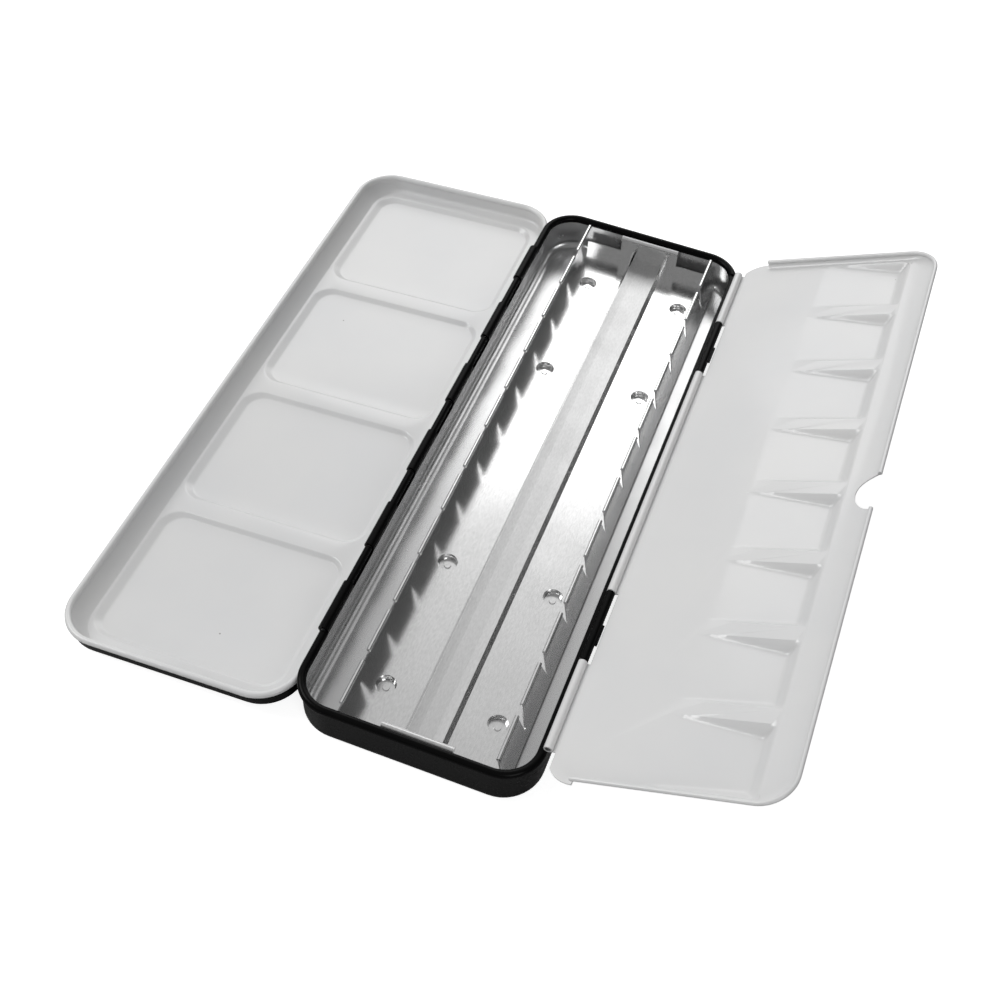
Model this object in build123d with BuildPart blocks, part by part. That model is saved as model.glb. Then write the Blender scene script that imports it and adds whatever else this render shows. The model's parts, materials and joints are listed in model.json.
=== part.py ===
from build123d import *
from math import asin, atan2, cos, degrees, hypot, radians, sin
import os

os.makedirs("parts", exist_ok=True)

# A slim enamelled paint tin for two rows of twelve half pans, lying open.
# X points to the palette side, Y along the tin, Z up; the origin is the middle of the underside.

# Base tray
base_length = 202.0
base_width = 66.0
base_height = 13.5
base_corner = 11.0
base_edge_radius = 3.0
tin_sheet = 0.4
bead_radius = 1.2
hinge_wall_inset = 1.1
base_knuckle_radius = 1.0

# Pan holder, a pressed tinplate sheet
pan_pitch = 16.4
pans_per_row = 12
holder_shift = 2.0
holder_sheet = 0.35
holder_length = 196.2
strip_height = 2.6
strip_root = 23.7
tab_top_reach = 20.8
tab_top_height = 13.9
tab_bead_radius = 0.6
tab_width = 13.0
tab_root_band = 3.3
tab_root_margin = 1.0
tab_root_bite = 1.65
ridge_rise = 1.9
ridge_top = 9.6
ridge_slope = 1.0
ridge_dish = 0.35
ridge_web = 0.42
end_flange_height = 3.4
end_flange_inset = 2.7
clip_width = 19.2
clip_curl_radius = 1.0
gusset_run = 4.5
gusset_rise = 2.6
foot_radius = 2.9
foot_base_radius = 2.3
foot_dimple_radius = 1.0
foot_offset_x = 15.5
foot_rows_y = (40.0, 82.0)

# Lid and its hinge
lid_overhang = 1.2
lid_front_gap = 0.5
lid_roll_radius = 0.9
lid_roll_offset = 0.2
lid_corner = 10.8
lid_depth = 5.45
lid_edge_radius = 1.2
lid_closed_gap = 1.7
lid_wells = 4
lid_well_pitch = 49.3
lid_well_length = 44.6
lid_well_side_margin = 4.4
lid_well_depth = 1.05
lid_well_corner = 6.5
lid_well_run = 1.6
lid_well_blend = 0.6
lid_axis_inset = 0.9
lid_axis_drop = 0.35
lid_wall_offset = 0.8
lid_pin_radius = 0.6
lid_knuckle_radius = 1.45
lid_knuckle_leg = 0.5
lid_knuckles = 6
knuckle_pitch = 28.5
lid_knuckle_length = 15.6
table_gap = 0.05

# Folding palette and its hinge
palette_reach = 63.4
palette_length = 196.4
palette_corner = 9.0
palette_tilt = 24.7
palette_axis_rise = 0.8
palette_roll_radius = 1.2
palette_wire_radius = 0.75
palette_hinge_shift = 1.5
palette_roll_length = 183.0
palette_rim_height = 2.3
palette_rim_start = 8.0
palette_bead_radius = 0.55
palette_slope_outer = 8.9
palette_slope_end = 2.4
palette_slope_knee = 0.6
palette_knee_share = 0.55
palette_knee_skin = 0.13
palette_inner_corner = 4.5
palette_knee_corner = 6.3
palette_wells = 8
palette_well_pitch = 24.45
palette_well_length = 20.3
palette_well_start = 27.2
palette_well_end = 54.3
palette_well_run = 2.0
palette_well_depth = 3.0
thumb_radius = 6.2
thumb_shift = -2.2
hinge_tab_spacing = 109.0
hinge_tab_length = 22.5
hinge_tab_shift = 2.8
hinge_lap_length = 6.5
hinge_lap_shift = -2.6
hinge_lap_reach = 0.45

# Clearances
running_gap = 0.05
side_gap = 0.3
seat_gap = 0.05
hinge_relief = 0.15
turning_gap = 0.2

# Places that several pieces share
half_length = base_length / 2
half_width = base_width / 2
bead_line_x = half_width - bead_radius
bead_line_y = half_length - bead_radius
hinge_wall_x = -half_width + hinge_wall_inset
wall_span = half_width - hinge_wall_x
wall_middle = (half_width + hinge_wall_x) / 2
lid_axis_x = -half_width + lid_axis_inset
lid_axis_z = base_height - lid_axis_drop
palette_axis_x = half_width
palette_axis_z = base_height + palette_axis_rise
knuckle_span = (lid_knuckles - 1) * knuckle_pitch + lid_knuckle_length
slot_length = lid_knuckle_length + 2 * side_gap
base_knuckle_length = knuckle_pitch - slot_length


# Base tray: upright walls, bead rolled inwards, hinge slots on the left, hinge tabs on the right

wall_height = base_height - bead_radius

with BuildPart() as tray_cavity:
    with BuildSketch(Plane.XY.offset(tin_sheet)):
        with Locations((wall_middle, 0)):
            RectangleRounded(wall_span - 2 * tin_sheet, base_length - 2 * tin_sheet, base_corner - tin_sheet)
    extrude(amount=wall_height)
    fillet(tray_cavity.edges().group_by(Axis.Z)[0], radius=base_edge_radius - tin_sheet)

with BuildPart() as base_tray:
    with BuildSketch():
        with Locations((wall_middle, 0)):
            RectangleRounded(wall_span, base_length, base_corner)
    extrude(amount=wall_height)
    fillet(base_tray.edges().group_by(Axis.Z)[0], radius=base_edge_radius)
    add(tray_cavity.part, mode=Mode.SUBTRACT)

    # The rolled bead that rims the tray
    with BuildSketch(Plane.XY.offset(wall_height), mode=Mode.PRIVATE) as bead_path:
        RectangleRounded(2 * bead_line_x, 2 * bead_line_y, base_corner - bead_radius)
    bead_wire = bead_path.sketch.wires()[0]
    with BuildSketch(Plane(bead_wire @ 0, z_dir=bead_wire % 0)):
        Circle(bead_radius)
    sweep(path=bead_wire)

    # The left bead gives way to the lid hinge
    hinge_gap_length = knuckle_span + 2 * (side_gap + running_gap)
    with Locations((-half_width, 0, lid_axis_z)):
        Box(2 * lid_knuckle_radius + 2 * bead_radius, hinge_gap_length, 2 * bead_radius + 2 * lid_axis_drop,
            align=(Align.CENTER, Align.CENTER, Align.CENTER), mode=Mode.SUBTRACT)
    slot_reach = lid_knuckle_radius + turning_gap
    for index in range(lid_knuckles):
        slot_y = (index - (lid_knuckles - 1) / 2) * knuckle_pitch
        with Locations((lid_axis_x, slot_y, lid_axis_z - slot_reach)):
            Box(2 * slot_reach, slot_length, 2 * slot_reach,
                align=(Align.CENTER, Align.CENTER, Align.MIN), mode=Mode.SUBTRACT)

    # Base knuckles between the lid knuckles, each on its own stretch of wall
    for index in range(lid_knuckles - 1):
        knuckle_y = (index - (lid_knuckles - 2) / 2) * knuckle_pitch
        knuckle_start = Plane((lid_axis_x, knuckle_y - base_knuckle_length / 2, lid_axis_z), z_dir=(0, 1, 0))
        with Locations((hinge_wall_x, knuckle_y, lid_axis_z - lid_pin_radius - running_gap)):
            Box(tin_sheet, base_knuckle_length, 2 * bead_radius + lid_axis_drop,
                align=(Align.MIN, Align.CENTER, Align.MAX))
        with BuildSketch(knuckle_start):
            Circle(base_knuckle_radius)
            Circle(lid_pin_radius + running_gap, mode=Mode.SUBTRACT)
        extrude(amount=base_knuckle_length)

    # The right bead is flattened under the palette roll
    relief_z = palette_axis_z - palette_roll_radius - hinge_relief
    relief_length = palette_roll_length + 4 * side_gap
    with Locations((bead_line_x, palette_hinge_shift, relief_z)):
        Box(3 * bead_radius, relief_length, 2 * bead_radius,
            align=(Align.CENTER, Align.CENTER, Align.MIN), mode=Mode.SUBTRACT)

    # Two tabs wrap over the palette wire
    for side in (-1, 1):
        tab_y = hinge_tab_shift + side * hinge_tab_spacing / 2
        leg_top = palette_axis_z - palette_wire_radius - running_gap - hinge_relief
        tab_start = Plane((palette_axis_x, tab_y - hinge_tab_length / 2, palette_axis_z), z_dir=(0, 1, 0))
        with Locations((palette_axis_x, tab_y, leg_top)):
            Box(palette_roll_radius, hinge_tab_length, bead_radius,
                align=(Align.CENTER, Align.CENTER, Align.MAX))
        with Locations((palette_axis_x + palette_wire_radius + 2 * running_gap, tab_y + hinge_lap_shift,
                        palette_axis_z)):
            Box(palette_roll_radius - palette_wire_radius + hinge_lap_reach, hinge_lap_length,
                palette_roll_radius / 2, align=(Align.MIN, Align.CENTER, Align.CENTER))
        with BuildSketch(tab_start):
            Circle(palette_roll_radius)
            Circle(palette_wire_radius + running_gap, mode=Mode.SUBTRACT)
        extrude(amount=hinge_tab_length)

base_tray.part.label = "base_tray"
export_step(base_tray.part, "parts/base_tray.step")


# Pan holder: two mirror strips with spring tabs, a raised middle ridge and a clip at each end

holder_end = holder_length / 2
strip_under = strip_height - holder_sheet
foot_under = tin_sheet + seat_gap
ridge_height = strip_height + ridge_rise
tab_run = strip_root - tab_top_reach
tab_rise = tab_top_height - tab_bead_radius - strip_height
tab_slope = hypot(tab_run, tab_rise)
tab_end = ((pans_per_row - 1) * pan_pitch + tab_width) / 2
root_end = tab_end + tab_root_margin
clip_top = base_height + palette_axis_rise + palette_roll_radius - tin_sheet - palette_rim_height - side_gap
holder_wall_y = holder_end - holder_sheet

holder_start = Plane((holder_shift, holder_end, 0), x_dir=(1, 0, 0), z_dir=(0, -1, 0))

with BuildPart() as pan_holder:
    # Cross-section of floor, ridge and tab roots, drawn once and run along the tin
    with BuildSketch(holder_start):
        with BuildLine():
            half_top = ridge_top / 2
            half_foot = half_top + ridge_slope
            Polyline(
                (-strip_root, strip_height), (-half_foot, strip_height), (-half_top, ridge_height),
                (half_top, ridge_height), (half_foot, strip_height), (strip_root, strip_height),
                (strip_root, strip_under), (half_foot + holder_sheet / 2, strip_under),
                (half_top + holder_sheet / 2, ridge_height - holder_sheet),
                (-half_top - holder_sheet / 2, ridge_height - holder_sheet),
                (-half_foot - holder_sheet / 2, strip_under), (-strip_root, strip_under), close=True,
            )
        make_face()
    extrude(amount=holder_length)

    # The ridge is dished a little along its middle, where a brush can lie
    dish_radius = (half_top ** 2 + ridge_dish ** 2) / (2 * ridge_dish)
    with BuildSketch(holder_start):
        with Locations((0, ridge_height + dish_radius - ridge_dish)):
            Circle(dish_radius)
        with Locations((0, ridge_height - holder_sheet)):
            Rectangle(ridge_top - holder_sheet, 2 * ridge_dish, align=(Align.CENTER, Align.MIN),
                      mode=Mode.INTERSECT)
    extrude(amount=holder_length, mode=Mode.SUBTRACT)
    with BuildSketch(holder_start):
        with Locations((0, ridge_height - 2 * holder_sheet)):
            Rectangle(ridge_top - 2 * holder_sheet, ridge_web, align=(Align.CENTER, Align.MIN))
    extrude(amount=holder_length)

    # Spring tabs lean inwards, with a rolled top edge and a V notch between neighbours
    for side in (-1, 1):
        lean = Plane(
            origin=(holder_shift + side * strip_root, 0, strip_height),
            x_dir=(0, 1, 0), z_dir=(side * tab_rise, 0, tab_run),
        )
        with BuildSketch(lean):
            Rectangle(2 * root_end, tab_root_band,
                      align=(Align.CENTER, Align.MAX if side < 0 else Align.MIN))
        extrude(amount=-holder_sheet)
        for index in range(pans_per_row):
            tab_y = (index - (pans_per_row - 1) / 2) * pan_pitch
            low = min(pan_pitch / 2, root_end - abs(tab_y))
            with BuildSketch(lean):
                with BuildLine():
                    Polyline(
                        (tab_y - low, side * tab_root_bite), (tab_y + low, side * tab_root_bite),
                        (tab_y + low, side * tab_root_band), (tab_y + tab_width / 2, side * tab_slope),
                        (tab_y - tab_width / 2, side * tab_slope), (tab_y - low, side * tab_root_band),
                        close=True,
                    )
                make_face()
            extrude(amount=-holder_sheet)
            bead_x = holder_shift + side * tab_top_reach
            bead_z = tab_top_height - tab_bead_radius
            bead_start = Plane((bead_x, tab_y - tab_width / 2, bead_z), z_dir=(0, 1, 0))
            with BuildSketch(bead_start):
                Circle(tab_bead_radius)
            extrude(amount=tab_width)

    # End flanges, with a taller clip in the middle that curls over below the bead of the tray
    for end in (-1, 1):
        with Locations((holder_shift, end * holder_end, strip_under)):
            Box(2 * (strip_root - end_flange_inset), holder_sheet, end_flange_height + holder_sheet,
                align=(Align.CENTER, Align.MAX if end > 0 else Align.MIN, Align.MIN))
            Box(clip_width, holder_sheet, clip_top - clip_curl_radius - strip_under,
                align=(Align.CENTER, Align.MAX if end > 0 else Align.MIN, Align.MIN))
        curl_y = end * (holder_end - clip_curl_radius / 2)
        curl = Plane((holder_shift - clip_width / 2, curl_y, clip_top - clip_curl_radius), z_dir=(1, 0, 0))
        with BuildSketch(curl):
            Circle(clip_curl_radius)
        extrude(amount=clip_width)
        for side in (-1, 1):
            gusset_x = holder_shift + side * (half_top + ridge_slope / 2)
            gusset = Plane((gusset_x - holder_sheet / 2, 0, 0), x_dir=(0, 1, 0), z_dir=(1, 0, 0))
            with BuildSketch(gusset):
                with BuildLine():
                    Polyline(
                        (end * (holder_end - gusset_run), ridge_height - ridge_rise),
                        (end * holder_wall_y, ridge_height - ridge_rise),
                        (end * holder_wall_y, ridge_height + gusset_rise),
                        (end * (holder_end - gusset_run), ridge_height), close=True,
                    )
                make_face()
            extrude(amount=holder_sheet)

    # Pressed feet that carry the strips on the floor of the tray
    foot_spots = [
        (holder_shift + sx * foot_offset_x, sy * row_y)
        for sx in (-1, 1) for sy in (-1, 1) for row_y in foot_rows_y
    ]
    foot_angle = degrees(atan2(foot_radius - foot_base_radius, strip_height - foot_under))
    with BuildSketch(Plane.XY.offset(foot_under)):
        with Locations(*foot_spots):
            Circle(foot_base_radius + holder_sheet)
    extrude(amount=strip_height - foot_under, taper=-foot_angle)
    with BuildSketch(Plane.XY.offset(foot_under + holder_sheet)):
        with Locations(*foot_spots):
            Circle(foot_base_radius)
            Circle(foot_dimple_radius, mode=Mode.SUBTRACT)
    extrude(amount=strip_height - foot_under, taper=-foot_angle, mode=Mode.SUBTRACT)
    with BuildSketch(Plane.XY.offset(foot_under + 2 * holder_sheet)):
        with Locations(*foot_spots):
            Circle(foot_dimple_radius + holder_sheet)
    extrude(amount=strip_height, mode=Mode.SUBTRACT)

pan_holder.part.label = "pan_holder"
export_step(pan_holder.part, "parts/pan_holder.step")


# Lid: drawn in its own plane, hinge axis at the plane's origin, lying open on its wells

rim_drop = lid_closed_gap + lid_axis_drop
lid_outer_y = half_length + lid_overhang
lid_line_y = lid_outer_y - lid_roll_radius
lid_wall_y = lid_line_y - lid_roll_offset
roll_drop = rim_drop + lid_roll_radius
lid_front_inner = palette_axis_x + palette_roll_radius + lid_front_gap - lid_axis_x
lid_front_wall = lid_front_inner + tin_sheet
lid_front_line = lid_front_wall + lid_roll_offset
lid_middle = (lid_wall_offset + lid_front_wall) / 2
lid_inner_span = lid_front_inner - lid_wall_offset - tin_sheet
lid_well_width = lid_inner_span - 2 * lid_well_side_margin
lid_total_depth = lid_depth + lid_well_depth + tin_sheet
lowest_reach = lid_middle + lid_well_width / 2 - lid_well_run + tin_sheet
lowest_drop = rim_drop + lid_total_depth
lowest_radius = hypot(lowest_reach, lowest_drop)
lid_droop = degrees(asin((lid_axis_z - table_gap) / lowest_radius) - atan2(lowest_drop, lowest_reach))

lid_plane = Plane(
    origin=(lid_axis_x, 0, lid_axis_z),
    x_dir=(-cos(radians(lid_droop)), 0, -sin(radians(lid_droop))),
    z_dir=(-sin(radians(lid_droop)), 0, cos(radians(lid_droop))),
)
well_draft = degrees(atan2(lid_well_run, lid_well_depth))
well_spots = [(lid_middle, (index - (lid_wells - 1) / 2) * lid_well_pitch) for index in range(lid_wells)]
level_slack = 0.03


def blend_edges(builder, height, radius):
    """Fillet the edges that lie all in one level of the lid's plane, well inside its rim."""
    level = [
        edge for edge in builder.edges()
        if all(abs(lid_plane.to_local_coords(edge @ at).Z - height) < level_slack for at in (0, 0.5, 1))
        and abs(lid_plane.to_local_coords(edge @ 0.5).X - lid_middle) < lid_well_width / 2 + side_gap
    ]
    fillet(level, radius=radius)


with BuildPart() as lid_cavity:
    with BuildSketch(lid_plane.offset(-roll_drop)):
        with Locations((lid_middle, 0)):
            RectangleRounded(lid_inner_span, 2 * (lid_wall_y - tin_sheet), lid_corner - tin_sheet)
    extrude(amount=lid_roll_radius - lid_depth)
    cavity_floor = lid_cavity.faces().sort_by(Axis(lid_plane.origin, lid_plane.z_dir))[0]
    fillet(cavity_floor.edges(), radius=lid_edge_radius - tin_sheet)
    with BuildSketch(lid_plane.offset(-rim_drop - lid_depth)):
        with Locations(*well_spots):
            RectangleRounded(lid_well_width, lid_well_length, lid_well_corner)
    extrude(amount=-lid_well_depth, taper=well_draft)
    blend_edges(lid_cavity, -rim_drop - lid_depth - lid_well_depth, lid_well_blend)
    blend_edges(lid_cavity, -rim_drop - lid_depth, lid_well_blend)

with BuildPart() as lid:
    with BuildSketch(lid_plane.offset(-roll_drop)):
        with Locations((lid_middle, 0)):
            RectangleRounded(lid_front_wall - lid_wall_offset, 2 * lid_wall_y, lid_corner)
    extrude(amount=lid_roll_radius - lid_depth - tin_sheet)
    lid_back = lid.faces().sort_by(Axis(lid_plane.origin, lid_plane.z_dir))[0]
    fillet(lid_back.edges(), radius=lid_edge_radius)
    with BuildSketch(lid_plane.offset(-rim_drop - lid_depth)):
        with Locations(*well_spots):
            RectangleRounded(lid_well_width + 2 * tin_sheet, lid_well_length + 2 * tin_sheet,
                             lid_well_corner + tin_sheet)
    extrude(amount=-lid_well_depth - tin_sheet, taper=well_draft)
    add(lid_cavity.part, mode=Mode.SUBTRACT)

    # The rolled rim, trimmed flush along the hinge side
    with BuildSketch(lid_plane.offset(-roll_drop), mode=Mode.PRIVATE) as roll_path:
        with Locations((lid_middle, 0)):
            RectangleRounded(2 * (lid_front_line - lid_middle), 2 * lid_line_y, lid_corner + lid_roll_offset)
    roll_wire = roll_path.sketch.wires()[0]
    with BuildSketch(Plane(roll_wire @ 0, z_dir=roll_wire % 0)):
        Circle(lid_roll_radius)
    sweep(path=roll_wire)
    with BuildSketch(lid_plane.offset(-rim_drop + lid_roll_radius)):
        with Locations((lid_wall_offset, 0)):
            Rectangle(4 * lid_roll_radius, 2 * lid_outer_y, align=(Align.MAX, Align.CENTER))
    extrude(amount=-rim_drop - 3 * lid_roll_radius, mode=Mode.SUBTRACT)

    # Knuckles that turn on the hinge pin, each on a tab of the lid wall
    knuckle_spots = [(index - (lid_knuckles - 1) / 2) * knuckle_pitch for index in range(lid_knuckles)]
    for knuckle_y in knuckle_spots:
        knuckle_start = Plane((lid_axis_x, knuckle_y - lid_knuckle_length / 2, lid_axis_z), z_dir=(0, 1, 0))
        with BuildSketch(lid_plane.offset(-lid_knuckle_leg)):
            with Locations((lid_wall_offset, knuckle_y)):
                Rectangle(tin_sheet, lid_knuckle_length, align=(Align.MIN, Align.CENTER))
        extrude(amount=-roll_drop)
        with BuildSketch(knuckle_start):
            Circle(lid_knuckle_radius)
            Circle(lid_pin_radius + running_gap, mode=Mode.SUBTRACT)
        extrude(amount=lid_knuckle_length)

lid.part.label = "lid"
export_step(lid.part, "parts/lid.step")


# Palette: drawn in its own tilted plane, whose origin lies on the sheet below the hinge axis

sheet_drop = palette_roll_radius - tin_sheet
tilt = radians(palette_tilt)
palette_plane = Plane(
    origin=(palette_axis_x + sheet_drop * sin(tilt), 0, palette_axis_z - sheet_drop * cos(tilt)),
    x_dir=(cos(tilt), 0, sin(tilt)), z_dir=(-sin(tilt), 0, cos(tilt)),
)
palette_half = palette_length / 2
rim_line_u = palette_reach - palette_bead_radius
rim_line_v = palette_half - palette_bead_radius
rim_line_h = palette_rim_height - palette_bead_radius
knee_u = palette_reach - palette_slope_outer * (1 - palette_knee_share)
knee_v = palette_half - palette_slope_end * (1 - palette_knee_share)
flat_u = palette_reach - palette_slope_outer
flat_v = palette_half - palette_slope_end
well_list = [(index - (palette_wells - 1) / 2) * palette_well_pitch for index in range(palette_wells)]


def dish_section(reach, half, height, corner):
    """One level of the dished palette, as an outline that runs past the hinge side."""
    with BuildSketch(palette_plane.offset(height)) as level:
        with Locations((reach, 0)):
            RectangleRounded(2 * palette_reach, 2 * half, corner, align=(Align.MAX, Align.CENTER))
    return level.sketch


with BuildPart() as palette_hollow:
    loft([
        dish_section(flat_u, flat_v, 0, palette_inner_corner),
        dish_section(knee_u, knee_v, palette_slope_knee, palette_knee_corner),
        dish_section(rim_line_u, rim_line_v, palette_rim_height, palette_corner - palette_bead_radius),
    ], ruled=True)

with BuildPart() as mixing_palette:
    # The dished sheet with its rim on three sides
    loft([
        dish_section(flat_u, flat_v, -tin_sheet, palette_inner_corner),
        dish_section(knee_u + palette_knee_skin, knee_v + palette_knee_skin, palette_slope_knee - tin_sheet,
                     palette_knee_corner),
        dish_section(palette_reach, palette_half, rim_line_h, palette_corner),
    ], ruled=True)
    add(palette_hollow.part, mode=Mode.SUBTRACT)
    with BuildSketch(palette_plane.offset(-4 * palette_rim_height)):
        with Locations((palette_rim_start, 0)):
            Rectangle(3 * palette_reach, 2 * palette_length, align=(Align.MAX, Align.CENTER))
    extrude(amount=8 * palette_rim_height, mode=Mode.SUBTRACT)
    with BuildSketch(palette_plane.offset(-tin_sheet)):
        with Locations((palette_reach / 2, 0)):
            RectangleRounded(palette_reach, palette_length, palette_corner)
        with Locations((palette_rim_start + tin_sheet, 0)):
            Rectangle(palette_reach, palette_length, align=(Align.MAX, Align.CENTER), mode=Mode.INTERSECT)
    extrude(amount=tin_sheet)

    # The thin rolled edge on top of the rim
    with BuildLine(palette_plane.offset(rim_line_h)) as edge_path:
        FilletPolyline(
            (palette_rim_start, -rim_line_v), (rim_line_u, -rim_line_v), (rim_line_u, rim_line_v),
            (palette_rim_start, rim_line_v), radius=palette_corner - palette_bead_radius,
        )
    edge_start = palette_plane.from_local_coords(Vector(palette_rim_start, -rim_line_v, rim_line_h))
    with BuildSketch(Plane(edge_start, x_dir=(0, 1, 0), z_dir=palette_plane.x_dir)):
        Circle(palette_bead_radius)
    sweep(path=edge_path.wires()[0])

    # Eight mixing wells, flush at the fold line and deep at the outer end
    well_foot = palette_well_end - palette_well_run
    for well_y in well_list:
        well_origin = palette_plane.from_local_coords(Vector(0, well_y, 0))
        well_section = Plane(well_origin, x_dir=palette_plane.x_dir, z_dir=(0, -1, 0))
        with BuildSketch(well_section):
            with BuildLine():
                Polyline(
                    (palette_well_start - tin_sheet, -tin_sheet),
                    (well_foot, -palette_well_depth - tin_sheet),
                    (palette_well_end + tin_sheet, -tin_sheet),
                    (palette_well_end + tin_sheet, -tin_sheet / 2),
                    (palette_well_start - tin_sheet, -tin_sheet / 2), close=True,
                )
            make_face()
        extrude(amount=palette_well_length / 2 + tin_sheet, both=True)
        with BuildSketch(well_section):
            with BuildLine():
                Polyline(
                    (palette_well_start, 0), (well_foot, -palette_well_depth),
                    (palette_well_end, 0), (palette_well_end, tin_sheet),
                    (palette_well_start, tin_sheet), close=True,
                )
            make_face()
        extrude(amount=palette_well_length / 2, both=True, mode=Mode.SUBTRACT)

    # Thumb notch in the middle of the outer edge
    with BuildSketch(palette_plane.offset(-palette_rim_height)):
        with Locations((palette_reach, thumb_shift)):
            Circle(thumb_radius)
    extrude(amount=3 * palette_rim_height, mode=Mode.SUBTRACT)

    # The rolled hinge edge, cut away round the two tabs of the tray
    roll_end = palette_hinge_shift - palette_roll_length / 2
    with BuildSketch(Plane((palette_axis_x, roll_end, palette_axis_z), z_dir=(0, 1, 0))):
        Circle(palette_roll_radius)
    extrude(amount=palette_roll_length)
    with BuildSketch(Plane((palette_axis_x, -palette_length, palette_axis_z), z_dir=(0, 1, 0))):
        Circle(palette_wire_radius + running_gap)
    extrude(amount=2 * palette_length, mode=Mode.SUBTRACT)
    notch_reach = palette_roll_radius + hinge_lap_reach + 3 * turning_gap
    tab_spots = [hinge_tab_shift + side * hinge_tab_spacing / 2 for side in (-1, 1)]
    with BuildSketch(palette_plane.offset(-palette_roll_radius)):
        with Locations(*[(-notch_reach, tab_y) for tab_y in tab_spots]):
            Rectangle(2 * notch_reach, hinge_tab_length + 2 * side_gap, align=(Align.MIN, Align.CENTER))
    extrude(amount=4 * palette_roll_radius, mode=Mode.SUBTRACT)

mixing_palette.part.label = "mixing_palette"
export_step(mixing_palette.part, "parts/mixing_palette.step")


# Hinge pins, plain steel wire

with BuildPart() as lid_hinge_pin:
    with BuildSketch(Plane((lid_axis_x, -knuckle_span / 2, lid_axis_z), z_dir=(0, 1, 0))):
        Circle(lid_pin_radius)
    extrude(amount=knuckle_span)

lid_hinge_pin.part.label = "lid_hinge_pin"
export_step(lid_hinge_pin.part, "parts/lid_hinge_pin.step")

with BuildPart() as palette_hinge_wire:
    with BuildSketch(Plane((palette_axis_x, roll_end, palette_axis_z), z_dir=(0, 1, 0))):
        Circle(palette_wire_radius)
    extrude(amount=palette_roll_length)

palette_hinge_wire.part.label = "palette_hinge_wire"
export_step(palette_hinge_wire.part, "parts/palette_hinge_wire.step")

for piece in (base_tray, pan_holder, lid, mixing_palette, lid_hinge_pin, palette_hinge_wire):
    box = piece.part.bounding_box()
    print(piece.part.label, len(piece.part.solids()), "solids", round(piece.part.volume, 1), "mm3")
    print(box.min, box.max)
print("lid droop in degrees", round(lid_droop, 3))
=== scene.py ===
import json
import math

import bmesh
import bpy
from mathutils import Matrix, Vector


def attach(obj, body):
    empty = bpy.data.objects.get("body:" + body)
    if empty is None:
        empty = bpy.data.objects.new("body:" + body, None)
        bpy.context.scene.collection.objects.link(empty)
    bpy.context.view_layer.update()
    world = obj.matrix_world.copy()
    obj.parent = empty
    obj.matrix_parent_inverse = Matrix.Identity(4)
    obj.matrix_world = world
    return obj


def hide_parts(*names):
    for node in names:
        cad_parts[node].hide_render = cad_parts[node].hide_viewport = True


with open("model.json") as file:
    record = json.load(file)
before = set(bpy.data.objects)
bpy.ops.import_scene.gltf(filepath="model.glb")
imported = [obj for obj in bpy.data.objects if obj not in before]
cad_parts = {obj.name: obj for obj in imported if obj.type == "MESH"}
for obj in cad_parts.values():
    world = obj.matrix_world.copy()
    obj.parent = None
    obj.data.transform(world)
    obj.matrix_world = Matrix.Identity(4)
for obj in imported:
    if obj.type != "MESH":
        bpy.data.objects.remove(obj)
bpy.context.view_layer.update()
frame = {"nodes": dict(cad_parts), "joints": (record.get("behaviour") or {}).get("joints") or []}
MM = 0.001


# Material helpers

def new_material(name):
    """A material with its principled shader, ready for more nodes."""
    material = bpy.data.materials.new(name)
    material.use_nodes = True
    shader = material.node_tree.nodes["Principled BSDF"]
    return material, material.node_tree, shader


def node(tree, kind, **settings):
    made = tree.nodes.new(kind)
    for key, value in settings.items():
        setattr(made, key, value)
    return made


def object_coords(tree, scale=(1.0, 1.0, 1.0)):
    """Coordinates in metres on the piece, stretched by scale."""
    coords = node(tree, "ShaderNodeTexCoord")
    mapping = node(tree, "ShaderNodeMapping")
    mapping.inputs["Scale"].default_value = scale
    tree.links.new(coords.outputs["Object"], mapping.inputs["Vector"])
    return mapping.outputs["Vector"]


def noise(tree, vector, scale, detail=3.0, roughness=0.5):
    made = node(tree, "ShaderNodeTexNoise")
    made.inputs["Scale"].default_value = scale
    made.inputs["Detail"].default_value = detail
    made.inputs["Roughness"].default_value = roughness
    tree.links.new(vector, made.inputs["Vector"])
    return made.outputs["Fac"]


def ranged(tree, value, low, high, from_low=0.35, from_high=0.65, kind="LINEAR"):
    """A value mapped to low..high, from the middle of the noise unless told otherwise."""
    made = node(tree, "ShaderNodeMapRange", interpolation_type=kind)
    made.inputs["From Min"].default_value = from_low
    made.inputs["From Max"].default_value = from_high
    made.inputs["To Min"].default_value = low
    made.inputs["To Max"].default_value = high
    tree.links.new(value, made.inputs["Value"])
    return made.outputs["Result"]


def combined(tree, operation, *values):
    """A math node's result; each value is a socket or a number."""
    made = node(tree, "ShaderNodeMath", operation=operation)
    for socket, value in zip(made.inputs, values):
        if isinstance(value, float):
            socket.default_value = value
        else:
            tree.links.new(value, socket)
    return made.outputs[0]


def mixed_colour(tree, factor, first, second):
    made = node(tree, "ShaderNodeMix", data_type="RGBA")
    tree.links.new(factor, made.inputs["Factor"])
    for socket, colour in (("A", first), ("B", second)):
        target = [s for s in made.inputs if s.name == socket and s.type == "RGBA"][0]
        if isinstance(colour, tuple):
            target.default_value = (*colour, 1.0)
        else:
            tree.links.new(colour, target)
    return [s for s in made.outputs if s.type == "RGBA"][0]


def specks(tree, vector, scale, size, share):
    """Small round specks: 1 inside a speck. share is the part of the cells that hold one."""
    cells = node(tree, "ShaderNodeTexVoronoi", feature="F1")
    cells.inputs["Scale"].default_value = scale
    tree.links.new(vector, cells.inputs["Vector"])
    split = node(tree, "ShaderNodeSeparateColor")
    tree.links.new(cells.outputs["Color"], split.inputs["Color"])
    near = combined(tree, "LESS_THAN", cells.outputs["Distance"], size)
    chosen = combined(tree, "LESS_THAN", split.outputs["Red"], share)
    return combined(tree, "MULTIPLY", near, chosen)


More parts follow.
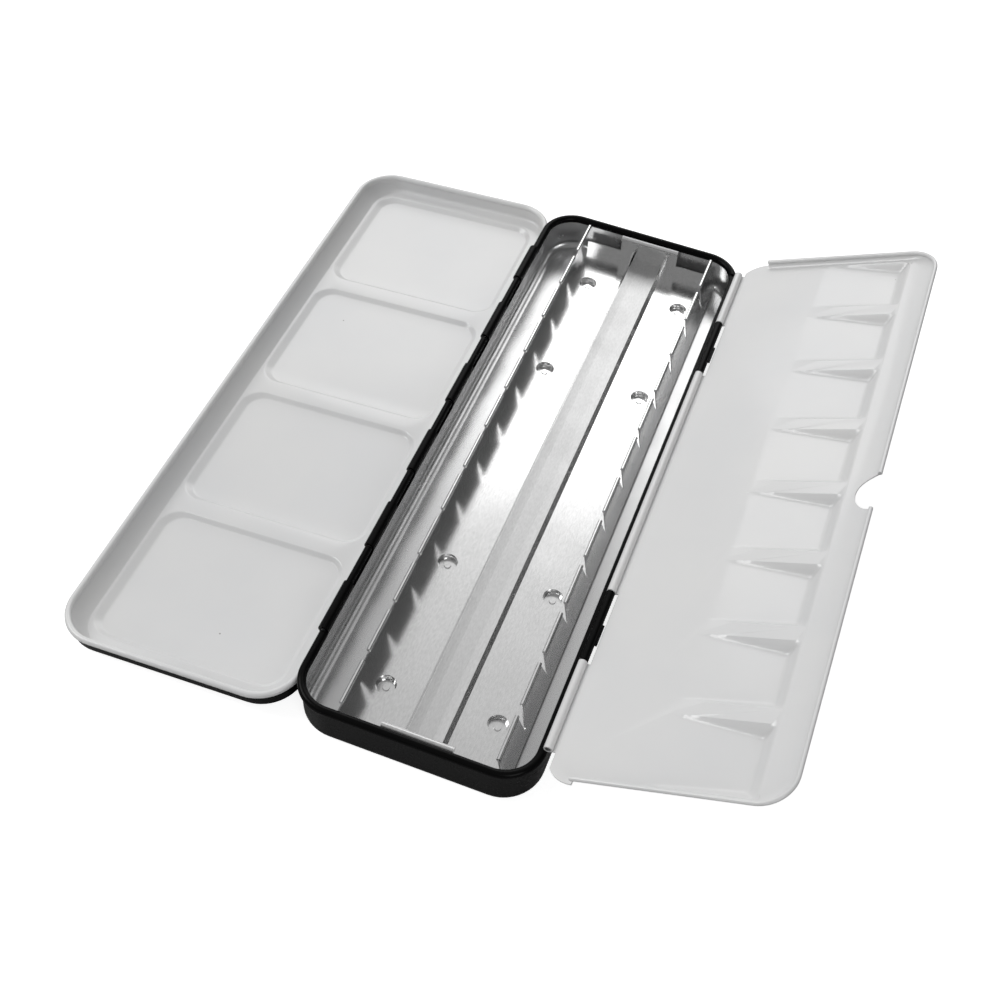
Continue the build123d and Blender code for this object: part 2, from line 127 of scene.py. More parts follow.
def bump(tree, shader, height, distance, strength=1.0):
    made = node(tree, "ShaderNodeBump")
    made.inputs["Strength"].default_value = strength
    made.inputs["Distance"].default_value = distance
    tree.links.new(height, made.inputs["Height"])
    tree.links.new(made.outputs["Normal"], shader.inputs["Normal"])


# Materials

def white_enamel():
    """Stoved white enamel: even, glossy, with faint orange peel, a few dust specks and soft marks."""
    material, tree, shader = new_material("white_enamel_gloss")
    coords = object_coords(tree)
    clouds = noise(tree, coords, 28.0, 4.0)
    tone = mixed_colour(tree, ranged(tree, clouds, 0.0, 1.0), (0.705, 0.708, 0.712), (0.735, 0.735, 0.732))
    marks = specks(tree, coords, 150.0, 0.035, 0.05)
    tree.links.new(mixed_colour(tree, marks, tone, (0.30, 0.29, 0.28)), shader.inputs["Base Color"])
    smears = noise(tree, object_coords(tree, (60.0, 14.0, 60.0)), 1.0, 5.0, 0.6)
    tree.links.new(ranged(tree, smears, 0.27, 0.37, 0.15, 0.85), shader.inputs["Roughness"])
    shader.inputs["Specular IOR Level"].default_value = 0.45
    shader.inputs["Coat Weight"].default_value = 0.5
    shader.inputs["Coat Roughness"].default_value = 0.11
    bump(tree, shader, noise(tree, coords, 900.0, 2.0), 0.000012, 0.6)
    return material


def black_enamel():
    """Stoved black enamel with a soft gloss, faint orange peel and fine rubbed marks."""
    material, tree, shader = new_material("black_enamel_gloss")
    coords = object_coords(tree)
    clouds = noise(tree, coords, 60.0, 4.0)
    tone = mixed_colour(tree, ranged(tree, clouds, 0.0, 1.0), (0.0015, 0.0015, 0.0017), (0.0028, 0.0028, 0.0028))
    marks = specks(tree, coords, 220.0, 0.04, 0.04)
    tree.links.new(mixed_colour(tree, marks, tone, (0.03, 0.03, 0.03)), shader.inputs["Base Color"])
    rubs = noise(tree, object_coords(tree, (420.0, 60.0, 420.0)), 1.0, 5.0, 0.65)
    tree.links.new(ranged(tree, rubs, 0.20, 0.32, 0.2, 0.8), shader.inputs["Roughness"])
    shader.inputs["Specular IOR Level"].default_value = 0.07
    bump(tree, shader, noise(tree, coords, 1100.0, 2.0), 0.00001, 0.6)
    return material


def tinplate(name, rough_low, rough_high, tone_low=0.70, tone_high=0.80):
    """Bright tinplate: a mirror finish with fine rolled grain and crystalline speckle."""
    material, tree, shader = new_material(name)
    grain = noise(tree, object_coords(tree, (2600.0, 700.0, 2600.0)), 1.0, 3.0, 0.6)
    clouds = noise(tree, object_coords(tree), 90.0, 4.0)
    tone = ranged(tree, grain, tone_low, tone_high)
    colour = node(tree, "ShaderNodeCombineColor")
    for channel in ("Red", "Green", "Blue"):
        tree.links.new(tone, colour.inputs[channel])
    tree.links.new(colour.outputs["Color"], shader.inputs["Base Color"])
    shader.inputs["Metallic"].default_value = 1.0
    tree.links.new(ranged(tree, clouds, rough_low, rough_high, 0.2, 0.8), shader.inputs["Roughness"])
    bump(tree, shader, grain, 0.000003, 0.3)
    return material


def tray_lining():
    """Silver-grey metallic lacquer on the inside of the tray."""
    material, tree, shader = new_material("silver_grey_lining")
    coords = object_coords(tree)
    clouds = noise(tree, coords, 45.0, 4.0)
    tone = mixed_colour(tree, ranged(tree, clouds, 0.0, 1.0, 0.2, 0.8), (0.58, 0.582, 0.585), (0.62, 0.62, 0.62))
    tree.links.new(tone, shader.inputs["Base Color"])
    shader.inputs["Metallic"].default_value = 0.75
    rubs = noise(tree, object_coords(tree, (160.0, 60.0, 160.0)), 1.0, 4.0)
    tree.links.new(ranged(tree, rubs, 0.20, 0.30, 0.2, 0.8), shader.inputs["Roughness"])
    bump(tree, shader, noise(tree, coords, 1000.0, 2.0), 0.00001, 0.6)
    return material


def steel_wire():
    """Drawn steel wire with fine lengthwise scratches."""
    material, tree, shader = new_material("drawn_steel_wire")
    lines = noise(tree, object_coords(tree, (9000.0, 120.0, 9000.0)), 1.0, 2.0)
    tree.links.new(mixed_colour(tree, lines, (0.42, 0.42, 0.43), (0.62, 0.62, 0.62)), shader.inputs["Base Color"])
    shader.inputs["Metallic"].default_value = 1.0
    tree.links.new(ranged(tree, lines, 0.24, 0.4), shader.inputs["Roughness"])
    bump(tree, shader, lines, 0.000006, 0.5)
    return material


WHITE = white_enamel()
BLACK = black_enamel()
BRIGHT = tinplate("bright_tinplate", 0.15, 0.23, 0.69, 0.77)
SATIN = tinplate("satin_tinplate", 0.40, 0.48, 0.50, 0.57)
LINING = tray_lining()
WIRE = steel_wire()


# The pieces that the frame carries over

def dress(name, *materials):
    """Gives a carried-over node its materials, the first on all faces."""
    mesh = frame["nodes"][name].data
    mesh.materials.clear()
    for material in materials:
        mesh.materials.append(material)
    for polygon in mesh.polygons:
        polygon.material_index = 0
    return mesh


TRAY_WALLS = (-31.9, 33.0, -101.0, 101.0)
TRAY_CORNER = 11.0
TRAY_EDGE = 3.0
TRAY_BEAD_FOOT = 11.3
HALF_SHEET = 0.2


def wall_depth(x, y):
    """How far a place lies inside the outer face of the tray's wall, in millimetres."""
    low_x, high_x, low_y, high_y = TRAY_WALLS
    side = min(x - low_x, high_x - x)
    end = min(y - low_y, high_y - y)
    if side < TRAY_CORNER and end < TRAY_CORNER:
        return TRAY_CORNER - math.hypot(TRAY_CORNER - side, TRAY_CORNER - end)
    return min(side, end)


def dress_tray():
    """Black outside and on the bead, grey lining on the inner faces below the bead."""
    mesh = dress("base_tray", BLACK, LINING)
    for polygon in mesh.polygons:
        x, y, z = (value / MM for value in polygon.center)
        inset = wall_depth(x, y)
        if inset < TRAY_EDGE and z < TRAY_EDGE:
            depth = TRAY_EDGE - math.hypot(TRAY_EDGE - inset, TRAY_EDGE - z)
        else:
            depth = min(inset, z)
        if depth > HALF_SHEET and z < TRAY_BEAD_FOOT:
            polygon.material_index = 1


RIDGE_MIDDLE = 2.0
RIDGE_HALF = 4.9
RIDGE_FOOT = 3.6


def dress_holder():
    """Bright strips, tabs and clips, and a ridge rubbed satin on its top."""
    mesh = dress("pan_holder", BRIGHT, SATIN)
    for polygon in mesh.polygons:
        x, y, z = (value / MM for value in polygon.center)
        facing_up = polygon.normal.z > 0.5
        if abs(x - RIDGE_MIDDLE) < RIDGE_HALF and z > RIDGE_FOOT and facing_up:
            polygon.material_index = 1


dress_tray()
dress_holder()
dress("lid_hinge_pin", WIRE)
dress("palette_hinge_wire", WIRE)


# Mesh helpers. Outlines are lists of (u, v); sheets are drawn in millimetres in a tilted local frame.

def local_frame(origin, x_dir, z_dir):
    """A matrix from local millimetres to metres in the part's frame."""
    x_dir, z_dir = Vector(x_dir).normalized(), Vector(z_dir).normalized()
    y_dir = z_dir.cross(x_dir)
    turn = Matrix((x_dir, y_dir, z_dir)).transposed().to_4x4()
    return Matrix.Translation(Vector(origin)) @ turn @ Matrix.Scale(MM, 4)


def arc(centre, radius, start, end, steps):
    """Points on an arc, angles in degrees, both ends included."""
    return [
        (centre[0] + radius * math.cos(math.radians(start + (end - start) * i / steps)),
         centre[1] + radius * math.sin(math.radians(start + (end - start) * i / steps)))
        for i in range(steps + 1)
    ]


def rounded_outline(low_u, high_u, low_v, high_v, radius, steps=12):
    """A rounded rectangle, anticlockwise from its low-v, high-u corner."""
    points = []
    for centre_u, centre_v, start in (
        (high_u - radius, low_v + radius, -90), (high_u - radius, high_v - radius, 0),
        (low_u + radius, high_v - radius, 90), (low_u + radius, low_v + radius, 180),
    ):
        points += arc((centre_u, centre_v), radius, start, start + 90, steps)
    return points


def soft_ramp(t, soft=0.25):
    """From 0 to 1, straight in the middle and rounded at both ends."""
    if t < soft:
        return t * t / (2 * soft * (1 - soft))
    if t > 1 - soft:
        return 1 - (1 - t) ** 2 / (2 * soft * (1 - soft))
    return (t - soft / 2) / (1 - soft)


WELD = 0.004


class SheetBuilder:
    """Gathers faces in a local frame and makes one object of them."""

    def __init__(self, name, matrix):
        self.name, self.matrix = name, matrix
        self.points, self.faces = [], []

    def add_points(self, points):
        first = len(self.points)
        self.points += [tuple(point) for point in points]
        return list(range(first, len(self.points)))

    def add_face(self, corners):
        self.faces.append(tuple(corners))

    def loft(self, rings, closed=True):
        """Quads between rings of 3-D points, each ring as long as the next."""
        rows = [self.add_points(ring) for ring in rings]
        count = len(rows[0])
        for low, high in zip(rows, rows[1:]):
            for i in range(count if closed else count - 1):
                j = (i + 1) % count
                self.add_face((low[i], low[j], high[j], high[i]))
        return rows

    def plate(self, outline, holes, height):
        """A flat face with holes, filled as a flat curve is."""
        data = bpy.data.curves.new("fill", "CURVE")
        data.dimensions = "2D"
        data.fill_mode = "BOTH"
        for loop in [outline, *holes]:
            spline = data.splines.new("POLY")
            spline.points.add(len(loop) - 1)
            for place, (u, v) in zip(spline.points, loop):
                place.co = (u, v, 0.0, 1.0)
            spline.use_cyclic_u = True
        shape = bpy.data.objects.new("fill", data)
        mesh = bpy.data.meshes.new_from_object(shape)
        corners = self.add_points((p.co.x, p.co.y, height) for p in mesh.vertices)
        flip = sum(p.normal.z for p in mesh.polygons) < 0
        for polygon in mesh.polygons:
            face = [corners[i] for i in polygon.vertices]
            self.add_face(face[::-1] if flip else face)
        bpy.data.objects.remove(shape)
        bpy.data.curves.remove(data)
        bpy.data.meshes.remove(mesh)

    def build(self, materials, thickness=0.0, back_slot=0, even=True):
        """The finished object, with a back and edges where a thickness is given."""
        mesh = bpy.data.meshes.new(self.name)
        mesh.from_pydata([tuple(self.matrix @ Vector(point)) for point in self.points], [], self.faces)
        for material in materials:
            mesh.materials.append(material)
        work = bmesh.new()
        work.from_mesh(mesh)
        bmesh.ops.remove_doubles(work, verts=work.verts, dist=WELD * MM)
        bmesh.ops.recalc_face_normals(work, faces=work.faces)
        up = self.matrix.col[2].to_3d()
        if thickness and sum(face.normal.dot(up) * face.calc_area() for face in work.faces) < 0:
            bmesh.ops.reverse_faces(work, faces=work.faces)
        work.to_mesh(mesh)
        work.free()
        made = bpy.data.objects.new(self.name, mesh)
        bpy.context.scene.collection.objects.link(made)
        if thickness:
            solid = made.modifiers.new("sheet", "SOLIDIFY")
            solid.thickness = thickness * MM
            solid.offset = -1.0
            solid.use_even_offset = even
            solid.material_offset = back_slot
            solid.material_offset_rim = 0
            apply_modifiers(made)
        shade(made)
        return made


def apply_modifiers(made):
    """Turns an object's modifiers into its mesh."""
    bpy.context.view_layer.update()
    graph = bpy.context.evaluated_depsgraph_get()
    mesh = bpy.data.meshes.new_from_object(made.evaluated_get(graph))
    made.modifiers.clear()
    made.data = mesh


def shade(made, angle=35.0):
    """Smooth shading, split at the sharp folds."""
    made.data.shade_smooth()
    made.data.set_sharp_from_angle(angle=math.radians(angle))


def bar(builder, path, radius, steps):
    """A round bar along a path of 3-D points, with flat ends."""
    points = [Vector(point) for point in path]
    last = len(points) - 1
    rings = []
    for i, point in enumerate(points):
        along = (points[min(i + 1, last)] - points[max(i - 1, 0)]).normalized()
        side = along.cross(Vector((0, 0, 1))).normalized()
        rise = side.cross(along)
        rings.append([
            point + radius * (math.cos(a) * side + math.sin(a) * rise)
            for a in [2 * math.pi * k / steps for k in range(steps)]
        ])
    rows = builder.loft(rings)
    builder.add_face(rows[0][::-1])
    builder.add_face(rows[-1])


# Lid: a pressed shell in the lid's own plane, hinge axis at its origin

lid_joint = next(joint for joint in frame["joints"] if joint["name"] == "lid_hinge")
lid_droop = math.radians(lid_joint["range_deg"][1] - 180)
LID_FRAME = local_frame(
    lid_joint["pos_m"],
    (-math.cos(lid_droop), 0, -math.sin(lid_droop)), (-math.sin(lid_droop), 0, math.cos(lid_droop)),
)
SHEET = 0.4
LID_RIM = -2.05
LID_DEPTH = 5.4
LID_WALLS = (0.8, 67.2)
LID_HALF = 101.1
LID_CORNER = 10.8
LID_EDGE = 1.0
LID_FRONT_SPREAD = 3.9
LID_FRONT_RISE = 3.6
LID_FRONT_FADE = (57.0, 64.0)
LID_FRONT_FLATNESS = 1.75
LID_FILLET_STEPS = 10
LID_SKIRT_EDGE = 1.0
LID_SKIRT_RIM = 4.0
LID_SKIRT_BOTTOM = -7.87
LID_ROLL = 0.9
LID_ROLL_OUT = 0.2
LID_ROLL_IN = 0.1
WELL_PITCH = 49.3
WELL_LENGTH = 44.6
WELL_SIDES = (5.6, 62.6)
WELL_CORNER = 6.5
WELL_DEPTH = 1.1
WELL_RUN = 1.7
WELL_FRONT_SPREAD = 1.8
WELL_STEPS = 10
LID_KNUCKLES = 6
LID_KNUCKLE_PITCH = 28.5
LID_KNUCKLE_LENGTH = 15.6
LID_KNUCKLE_RADIUS = 1.45


def ring_at(outline, height):
    return [(u, v, height) for u, v in outline]


def lid_outline(inset):
    """The inside of the lid wall, moved inwards, and further in along the front."""
    low, high = LID_WALLS[0] + SHEET + inset, LID_WALLS[1] - SHEET - inset * LID_FRONT_SPREAD
    half = LID_HALF - SHEET - inset
    return rounded_outline(low, high, -half, half, LID_CORNER - SHEET - inset, 14)


def lid_fillet(turn, ledge):
    """A ring of the curve at the wall's foot: round on three sides, a long slant along the front."""
    ring = []
    fade_start, fade_end = LID_FRONT_FADE
    for i, (base_u, base_v) in enumerate(lid_outline(0.0)):
        front = soft_ramp(min(max((base_u - fade_start) / (fade_end - fade_start), 0.0), 1.0))
        power = 1.0 + (LID_FRONT_FLATNESS - 1.0) * front
        inset = LID_EDGE * (1 - max(math.cos(turn), 0.0) ** power)
        rise = (LID_EDGE + (LID_FRONT_RISE - LID_EDGE) * front) * (1 - math.sin(turn) ** power)
        u, v = lid_outline(inset)[i]
        ring.append((u, v, ledge + rise))
    return ring


def skirt_outline(inset):
    """The outside of the lid wall, moved inwards."""
    return rounded_outline(LID_WALLS[0] + inset, LID_WALLS[1] - inset, inset - LID_HALF, LID_HALF - inset,
                           LID_CORNER - inset, 14)


def make_skirt():
    """The black outer side of the lid wall, rounded under at its foot."""
    skirt = SheetBuilder("lid_outer_wall", LID_FRAME)
    rings = [ring_at(skirt_outline(0.0), LID_RIM - LID_ROLL)]
    for step in range(7):
        turn = math.radians(90 * step / 6)
        inset = LID_SKIRT_EDGE * (1 - math.cos(turn))
        rings.append(ring_at(skirt_outline(inset), LID_SKIRT_BOTTOM + LID_SKIRT_EDGE * (1 - math.sin(turn))))
    rings.append(ring_at(skirt_outline(LID_SKIRT_RIM), LID_SKIRT_BOTTOM))
    skirt.loft(rings[::-1])
    return skirt.build([BLACK], SHEET / 2)


def lid_well(centre, inset, steps=10):
    low, high = WELL_SIDES[0] + inset, WELL_SIDES[1] - inset * WELL_FRONT_SPREAD
    half = WELL_LENGTH / 2 - inset
    return rounded_outline(low, high, centre - half, centre + half, WELL_CORNER - inset, steps)


def make_lid():
    shell = SheetBuilder("lid_shell", LID_FRAME)
    ledge = LID_RIM - LID_DEPTH
    rings = [ring_at(lid_outline(0.0), LID_RIM - LID_ROLL)]
    rings += [
        lid_fillet(math.radians(90 * step / LID_FILLET_STEPS), ledge) for step in range(LID_FILLET_STEPS + 1)
    ]
    shell.loft(rings[::-1])
    centres = [(index - 1.5) * WELL_PITCH for index in range(4)]
    shell.plate(lid_outline(LID_EDGE), [lid_well(centre, 0.0) for centre in centres], ledge)
    for centre in centres:
        slopes = []
        for step in range(WELL_STEPS + 1):
            part = step / WELL_STEPS
            slopes.append(ring_at(lid_well(centre, WELL_RUN * part), ledge - WELL_DEPTH * soft_ramp(part)))
        shell.loft(slopes[::-1])
        shell.plate(lid_well(centre, WELL_RUN), [], ledge - WELL_DEPTH)
    made = shell.build([WHITE, BLACK], SHEET, back_slot=1)
    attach(made, "lid")

    roll = SheetBuilder("lid_rim_roll", LID_FRAME)
    line = LID_RIM - LID_ROLL
    inner, outer = LID_WALLS[0] + LID_ROLL_IN, LID_WALLS[1] + LID_ROLL_OUT
    half, corner = LID_HALF + LID_ROLL_OUT, LID_CORNER + LID_ROLL_OUT
    path = arc((inner + corner, -half + corner), corner, 180, 270, 16)
    path += arc((outer - corner, -half + corner), corner, -90, 0, 16)
    path += arc((outer - corner, half - corner), corner, 0, 90, 16)
    path += arc((inner + corner, half - corner), corner, 90, 180, 16)
    bar(roll, ring_at(path, line), LID_ROLL, steps=16)
    rolled = roll.build([WHITE])
    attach(rolled, "lid")

    knuckles = SheetBuilder("lid_knuckles", LID_FRAME)
    for index in range(LID_KNUCKLES):
        middle = (index - (LID_KNUCKLES - 1) / 2) * LID_KNUCKLE_PITCH
        low, high = middle - LID_KNUCKLE_LENGTH / 2, middle + LID_KNUCKLE_LENGTH / 2
        knuckle_curl(knuckles, low, high)
    curled = knuckles.build([BLACK])
    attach(curled, "lid")
    skirt = make_skirt()
    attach(skirt, "lid")
    for piece in (made, rolled, curled, skirt):
        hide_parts("lid")


def knuckle_curl(builder, low, high):
    """A strip that comes up from the lid wall and curls round the pin."""
    half_sheet = 0.4
    turns = arc((0, 0), LID_KNUCKLE_RADIUS - half_sheet, -40, 285, 26)
    strip = [(LID_WALLS[0] + SHEET / 2, LID_RIM - 1.2)] + turns
    extruded_strip(builder, strip, half_sheet, low, high)


def extruded_strip(builder, strip, half_thickness, low, high, bevel=0.08):
    """A bent strip of sheet, its middle line in (u, h), run along v."""
    points = [Vector(point) for point in strip]
    left, right = [], []
    for i, point in enumerate(points):
        before = points[max(i - 1, 0)]
        after = points[min(i + 1, len(points) - 1)]
        along = (after - before).normalized()
        across = Vector((-along.y, along.x)) * half_thickness
        left.append(point + across)
        right.append(point - across)
    section = left + right[::-1]
    centre_line = points + points[::-1]
    shrink = 1 - bevel / half_thickness

    def ring(v, scale):
        return [(c.x + (p.x - c.x) * scale, v, c.y + (p.y - c.y) * scale) for p, c in zip(section, centre_line)]

    rows = builder.loft([ring(low, shrink), ring(low + bevel, 1.0), ring(high - bevel, 1.0), ring(high, shrink)])
    count = len(points)
    for row, flip in ((rows[0], False), (rows[-1], True)):
        for i in range(count - 1):
            face = (row[i], row[i + 1], row[2 * count - 2 - i], row[2 * count - 1 - i])
            builder.add_face(face[::-1] if flip else face)


# Palette: a pressed sheet in the palette's own plane, drawn from its hinge edge outwards

palette_joint = next(joint for joint in frame["joints"] if joint["name"] == "palette_hinge")
palette_tilt = math.radians(180 - palette_joint["range_deg"][1])
PALETTE_DROP = 0.8
PALETTE_FRAME = local_frame(
    Vector(palette_joint["pos_m"]) + Vector((math.sin(palette_tilt), 0, -math.cos(palette_tilt))) * PALETTE_DROP * MM,
    (math.cos(palette_tilt), 0, math.sin(palette_tilt)), (-math.sin(palette_tilt), 0, math.cos(palette_tilt)),
)
PALETTE_REACH = 63.4
PALETTE_HALF = 98.2
PALETTE_CORNER = 9.0
PALETTE_START = 1.8
PALETTE_RIM = 2.3
PALETTE_ROLL = 0.6
RIM_START = 9.0
RIM_CURVE = 2.8
RIM_STEPS = 12
RIM_CORNER_LESS = 5.2
SLOPE_OUTER = 8.7
SLOPE_END = 2.4
PALETTE_WELLS = 8
PALETTE_WELL_PITCH = 24.45
PALETTE_WELL_LENGTH = 20.3
PALETTE_WELL_SIDES = (27.2, 54.3)
PALETTE_WELL_DEPTH = 2.6
PALETTE_WELL_RUN = 3.2
PALETTE_WELL_SIDE_RUN = 2.6
PALETTE_WELL_SOFT = 0.45
PALETTE_WELL_BROW = 0.3
THUMB_RADIUS = 6.2
THUMB_PLACE = -2.2
HINGE_ROLL_RADIUS = 1.2
HINGE_ROLL_ENDS = (-90.0, 93.0)
HINGE_TABS = (-51.7, 57.3)
HINGE_TAB_LENGTH = 22.5
HINGE_GAP = 0.3


def palette_band(t):
    """The rim's outline at t, from the flat of the plate (0) to the outer edge (1)."""
    reach = PALETTE_REACH - PALETTE_ROLL - (SLOPE_OUTER - PALETTE_ROLL) * (1 - t)
    half = PALETTE_HALF - PALETTE_ROLL - (SLOPE_END - PALETTE_ROLL) * (1 - t)
    corner = PALETTE_CORNER - PALETTE_ROLL - RIM_CORNER_LESS * (1 - t)
    near = arc((reach - corner, -half + corner), corner, -90, 0, 14)
    far = arc((reach - corner, half - corner), corner, 0, 90, 14)
    return [(RIM_START, -half), *near, *far, (RIM_START, half)]


def soft_least(values, soft):
    """The least of the values, with a rounded change from one to the next."""
    least = values[0]
    for value in values[1:]:
        blend = max(soft - abs(least - value), 0.0) / soft
        least = min(least, value) - blend * blend * soft / 4
    return least


def palette_well_depth(u, v):
    """Depth of a mixing well: a floor that falls outwards, between slanted sides and a slanted end."""
    low, high = PALETTE_WELL_SIDES
    floor = (u - low) / (high - PALETTE_WELL_RUN - low)
    end = (high - u) / PALETTE_WELL_RUN
    side = (PALETTE_WELL_LENGTH / 2 - abs(v)) / PALETTE_WELL_SIDE_RUN
    depth = PALETTE_WELL_DEPTH * soft_least([floor, side, end], PALETTE_WELL_SOFT / PALETTE_WELL_DEPTH)
    if depth < PALETTE_WELL_BROW:
        return max(depth, 0.0) ** 2 / (2 * PALETTE_WELL_BROW)
    return depth - PALETTE_WELL_BROW / 2


def palette_well(builder, centre, steps_u=40, steps_v=34):
    """Adds one mixing well as a fine grid and returns its outline."""
    low, high = PALETTE_WELL_SIDES
    rows = []
    for i in range(steps_u + 1):
        u = low + (high - low) * i / steps_u
        row = []
        for j in range(steps_v + 1):
            v = PALETTE_WELL_LENGTH * (j / steps_v - 0.5)
            border = i in (0, steps_u) or j in (0, steps_v)
            row.append((u, centre + v, 0.0 if border else -palette_well_depth(u, v)))
        rows.append(row)
    builder.loft(rows, closed=False)
    near, far = [row[0] for row in rows], [row[-1] for row in rows]
    loop = near + rows[-1][1:-1] + far[::-1] + rows[0][-2:0:-1]
    return [(u, v) for u, v, height in loop]


def make_palette():
    plate = SheetBuilder("palette_sheet", PALETTE_FRAME)
    rim = []
    for step in range(RIM_STEPS + 1):
        part = step / RIM_STEPS
        rim.append(ring_at(palette_band(part), (PALETTE_RIM - PALETTE_ROLL) * part ** RIM_CURVE))
    plate.loft(rim, closed=False)
    corner_centre = PALETTE_HALF - PALETTE_CORNER
    start_angle = math.degrees(math.acos((PALETTE_CORNER - PALETTE_START) / PALETTE_CORNER))
    near_corner = arc((PALETTE_CORNER, -corner_centre), PALETTE_CORNER, 180 + start_angle, 270, 8)
    far_corner = arc((PALETTE_CORNER, corner_centre), PALETTE_CORNER, 90, 180 - start_angle, 8)
    outline = near_corner + palette_band(0.0) + far_corner
    centres = [(index - (PALETTE_WELLS - 1) / 2) * PALETTE_WELL_PITCH for index in range(PALETTE_WELLS)]
    plate.plate(outline, [palette_well(plate, centre) for centre in centres], 0.0)
    made = plate.build([WHITE], SHEET, even=False)

    cutter = SheetBuilder("thumb_cutter", PALETTE_FRAME)
    circle = arc((PALETTE_REACH, THUMB_PLACE), THUMB_RADIUS, 0, 360, 72)[:-1]
    rows = cutter.loft([ring_at(circle, -6.0), ring_at(circle, 8.0)])
    cutter.add_face(rows[0][::-1])
    cutter.add_face(rows[1])
    blade = cutter.build([WHITE])

    edge = SheetBuilder("palette_rim_roll", PALETTE_FRAME)
    path = ring_at(palette_band(1.0), PALETTE_RIM - PALETTE_ROLL)
    bar(edge, path, PALETTE_ROLL, steps=14)
    rolled = edge.build([WHITE])
    for piece in (made, rolled):
        cut = piece.modifiers.new("thumb", "BOOLEAN")
        cut.operation = "DIFFERENCE"
        cut.object = blade
        cut.solver = "EXACT"
        apply_modifiers(piece)
        shade(piece)
    bpy.data.objects.remove(blade)

    hinge = SheetBuilder("palette_hinge_roll", PALETTE_FRAME)
    middle_radius = HINGE_ROLL_RADIUS - SHEET / 2
    curl = arc((0, PALETTE_DROP), middle_radius, 268, -38, 34)
    strip = [(PALETTE_START + 0.3, -SHEET / 2)] + curl
    stops = [HINGE_ROLL_ENDS[0]]
    for tab in HINGE_TABS:
        stops += [tab - HINGE_TAB_LENGTH / 2 - HINGE_GAP, tab + HINGE_TAB_LENGTH / 2 + HINGE_GAP]
    stops.append(HINGE_ROLL_ENDS[1])
    for low, high in zip(stops[::2], stops[1::2]):
        extruded_strip(hinge, strip, SHEET / 2, low, high, bevel=0.06)
    hinged = hinge.build([WHITE])
    for piece in (made, rolled, hinged):
        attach(piece, "palette")
        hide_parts("mixing_palette")


make_lid()
make_palette()


# Stage: floor, lamps and world

FLOOR_SIZE = 6.0
FLOOR_HEIGHT = -0.0002
FLOOR_TONE = 0.55
FLOOR_GLOW = 0.85


def make_floor():
    """A pale floor that keeps its shadows and is nearly white to the camera."""
    bpy.ops.mesh.primitive_plane_add(size=FLOOR_SIZE, location=(0, 0, FLOOR_HEIGHT))
    floor = bpy.context.object
    floor.name = "studio_floor"
    material = bpy.data.materials.new("pale_floor")
    material.use_nodes = True
    tree = material.node_tree
    tree.nodes.clear()
    output = node(tree, "ShaderNodeOutputMaterial")
    diffuse = node(tree, "ShaderNodeBsdfDiffuse")
    diffuse.inputs["Color"].default_value = (FLOOR_TONE, FLOOR_TONE, FLOOR_TONE, 1.0)
    glow = node(tree, "ShaderNodeEmission")
    glow.inputs["Color"].default_value = (1.0, 1.0, 1.0, 1.0)
    path = node(tree, "ShaderNodeLightPath")
    amount = combined(tree, "MULTIPLY", path.outputs["Is Camera Ray"], FLOOR_GLOW)
    tree.links.new(amount, glow.inputs["Strength"])
    both = node(tree, "ShaderNodeAddShader")
    tree.links.new(diffuse.outputs[0], both.inputs[0])
    tree.links.new(glow.outputs[0], both.inputs[1])
    tree.links.new(both.outputs[0], output.inputs["Surface"])
    floor.data.materials.append(material)


def aimed(location, target):
    """Rotation that points an object's -Z from location at target."""
    return (Vector(target) - Vector(location)).to_track_quat("-Z", "Y")


def softbox(name, location, target, size, power):
    data = bpy.data.lights.new(name, "AREA")
    data.shape = "RECTANGLE"
    data.size, data.size_y = size
    data.energy = power
    lamp = bpy.data.objects.new(name, data)
    lamp.location = location
    lamp.rotation_mode = "QUATERNION"
    lamp.rotation_quaternion = aimed(location, target)
    bpy.context.scene.collection.objects.link(lamp)
    return lamp


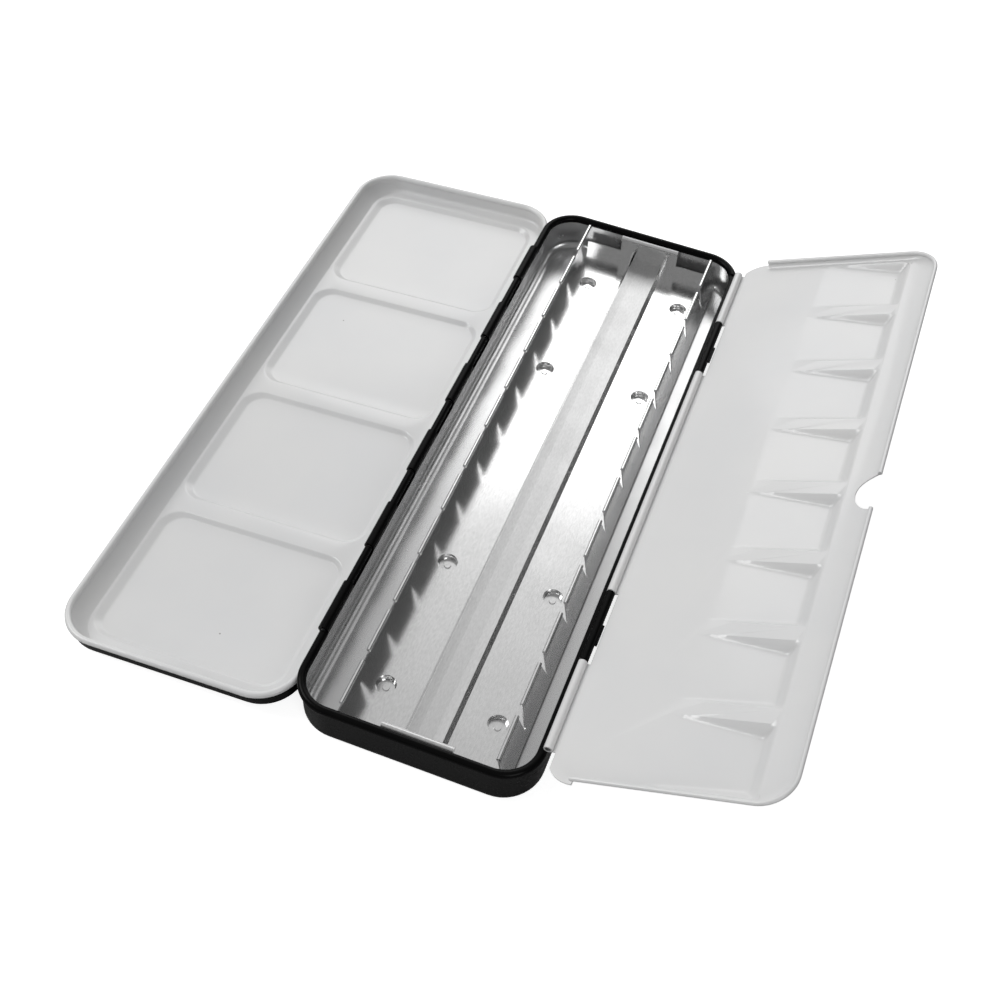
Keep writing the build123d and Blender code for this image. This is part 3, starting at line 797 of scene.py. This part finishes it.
def make_world():
    """A white room, brightest at the back and darker to the right, and plain white to the camera."""
    world = bpy.data.worlds.new("studio_world")
    bpy.context.scene.world = world
    world.use_nodes = True
    tree = world.node_tree
    tree.nodes.clear()
    output = node(tree, "ShaderNodeOutputWorld")
    room = node(tree, "ShaderNodeBackground")
    seen = node(tree, "ShaderNodeBackground")
    seen.inputs["Color"].default_value = (1.0, 1.0, 1.0, 1.0)
    seen.inputs["Strength"].default_value = 1.0
    coords = node(tree, "ShaderNodeTexCoord")
    split = node(tree, "ShaderNodeSeparateXYZ")
    tree.links.new(coords.outputs["Generated"], split.inputs["Vector"])
    side, back, height = (split.outputs[axis] for axis in "XYZ")
    overhead = ranged(tree, height, 0.26, 0.42, 0.0, 0.7, "SMOOTHSTEP")
    backdrop = ranged(tree, back, 0.0, 1.05, 0.25, 0.80)
    backdrop_side = ranged(tree, side, 1.0, 0.1, 0.10, 0.50, "SMOOTHSTEP")
    room_side = ranged(tree, side, 1.0, 0.28, 0.15, 0.5, "SMOOTHSTEP")
    level = combined(tree, "MULTIPLY_ADD", backdrop, backdrop_side, overhead)
    tree.links.new(combined(tree, "MULTIPLY", level, room_side), room.inputs["Strength"])
    path = node(tree, "ShaderNodeLightPath")
    mix = node(tree, "ShaderNodeMixShader")
    tree.links.new(path.outputs["Is Camera Ray"], mix.inputs["Fac"])
    tree.links.new(room.outputs[0], mix.inputs[1])
    tree.links.new(seen.outputs[0], mix.inputs[2])
    tree.links.new(mix.outputs[0], output.inputs["Surface"])


make_floor()
make_world()
softbox("key_softbox", (-0.75, -0.12, 0.72), (0, 0, 0), (0.5, 0.5), 4.3)
softbox("back_softbox", (-0.20, 0.72, 0.60), (0, 0, 0), (0.6, 0.4), 1.3)
softbox("fill_softbox", (0.5, -0.6, 0.5), (0, 0, 0), (0.4, 0.4), 1.8)


# Camera, at the photograph's place

CAMERA_PLACE = (0.06589, -0.24681, 0.31469)
CAMERA_AIM = (0.000216, -0.016987, 0.0135)
CAMERA_ROLL = math.radians(5.4953)
CAMERA_LENS = 49.649
CAMERA_SHIFT = (-0.0251, -0.00751)


def make_camera():
    data = bpy.data.cameras.new("photo_camera")
    data.sensor_fit = "HORIZONTAL"
    data.sensor_width = 36.0
    data.lens = CAMERA_LENS
    data.shift_x, data.shift_y = CAMERA_SHIFT
    data.clip_start = 0.01
    camera = bpy.data.objects.new("photo_camera", data)
    bpy.context.scene.collection.objects.link(camera)
    camera.location = CAMERA_PLACE
    camera.rotation_mode = "QUATERNION"
    level = (Vector(CAMERA_AIM) - Vector(CAMERA_PLACE)).to_track_quat("-Z", "Y")
    camera.rotation_quaternion = level @ Matrix.Rotation(CAMERA_ROLL, 3, "Z").to_quaternion()
    bpy.context.scene.camera = camera


make_camera()
bpy.context.scene.view_settings.view_transform = "Standard"
